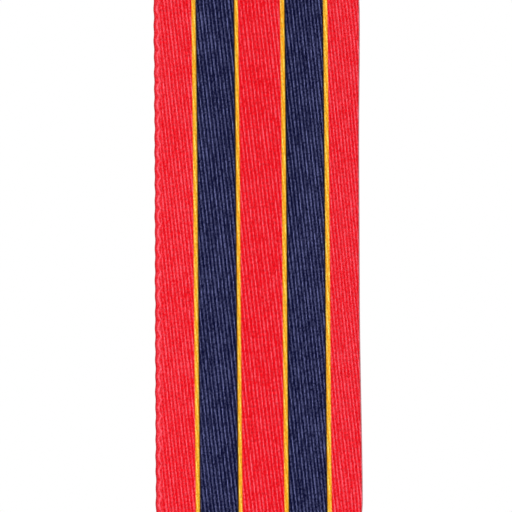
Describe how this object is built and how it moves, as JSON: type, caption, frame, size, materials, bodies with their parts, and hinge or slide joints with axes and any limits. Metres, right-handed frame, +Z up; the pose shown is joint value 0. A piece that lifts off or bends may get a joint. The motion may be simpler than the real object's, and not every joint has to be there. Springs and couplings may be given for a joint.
{
  "type": "service medal",
  "caption": "Round struck medal that swivels below a straight suspender, on a long striped ribbon hung from a slotted brooch bar with a hinged pin and a turning safety catch.",
  "frame": {"origin": "centre of the brooch bar's back face, which lies against the coat", "axes": "+Z up with the medal hanging, -Y out of the striped front, +X to the right seen from the front"},
  "size_m": [0.0364, 0.0075, 0.1571],
  "materials": {
    "ribbon_cloth": "steep warp-faced twill of bright polyester, red with two navy stripes edged in yellow",
    "sewing_thread": "twisted polyester thread",
    "bar_metal": "polished cupro-nickel with fine handling marks",
    "medal_metal": "struck cupro-nickel, bright on the relief and toned in the field",
    "fitting_metal": "tumbled nickel silver",
    "rotor_metal": "bright nickel plate",
    "rivet_metal": "turned nickel silver",
    "pin_steel": "drawn and polished spring steel"
  },
  "bodies": {
    "brooch": {"brooch_bar": "bar_metal", "hinge_bracket": "fitting_metal", "hinge_rivet": "rivet_metal", "catch_body": "fitting_metal"},
    "pin": {"pin_stem": "pin_steel"},
    "catch": {"catch_rotor": "rotor_metal"},
    "ribbon": {"ribbon": "ribbon_cloth", "upper_stitching": "sewing_thread", "lower_stitching": "sewing_thread"},
    "suspender": {"suspender_bar": "bar_metal"},
    "medal": {"swivel_rivet": "rivet_metal", "swivel_collar": "rivet_metal", "claw": "bar_metal", "claw_pin": "rivet_metal", "medal_disc": "medal_metal"}
  },
  "joints": [
    {"name": "pin_hinge", "type": "hinge", "parent": "brooch", "child": "pin", "pos_m": [-0.0135, 0.0024, 0], "axis": [0, 0, 1], "range_deg": [0, 105]},
    {"name": "catch_turn", "type": "hinge", "parent": "brooch", "child": "catch", "pos_m": [0.013, 0.0024, 0], "axis": [1, 0, 0], "range_deg": [-130, 0]},
    {"name": "ribbon_swing", "type": "hinge", "parent": "brooch", "child": "ribbon", "pos_m": [0, -0.0008, -0.0071], "axis": [1, 0, 0], "range_deg": [-130, 80]},
    {"name": "suspender_swing", "type": "hinge", "parent": "ribbon", "child": "suspender", "pos_m": [0, -0.0008, -0.1051], "axis": [1, 0, 0], "range_deg": [-120, 120]},
    {"name": "medal_swivel", "type": "hinge", "parent": "suspender", "child": "medal", "pos_m": [0, -0.0008, -0.1111], "axis": [0, 0, 1], "continuous": true}
  ]
}
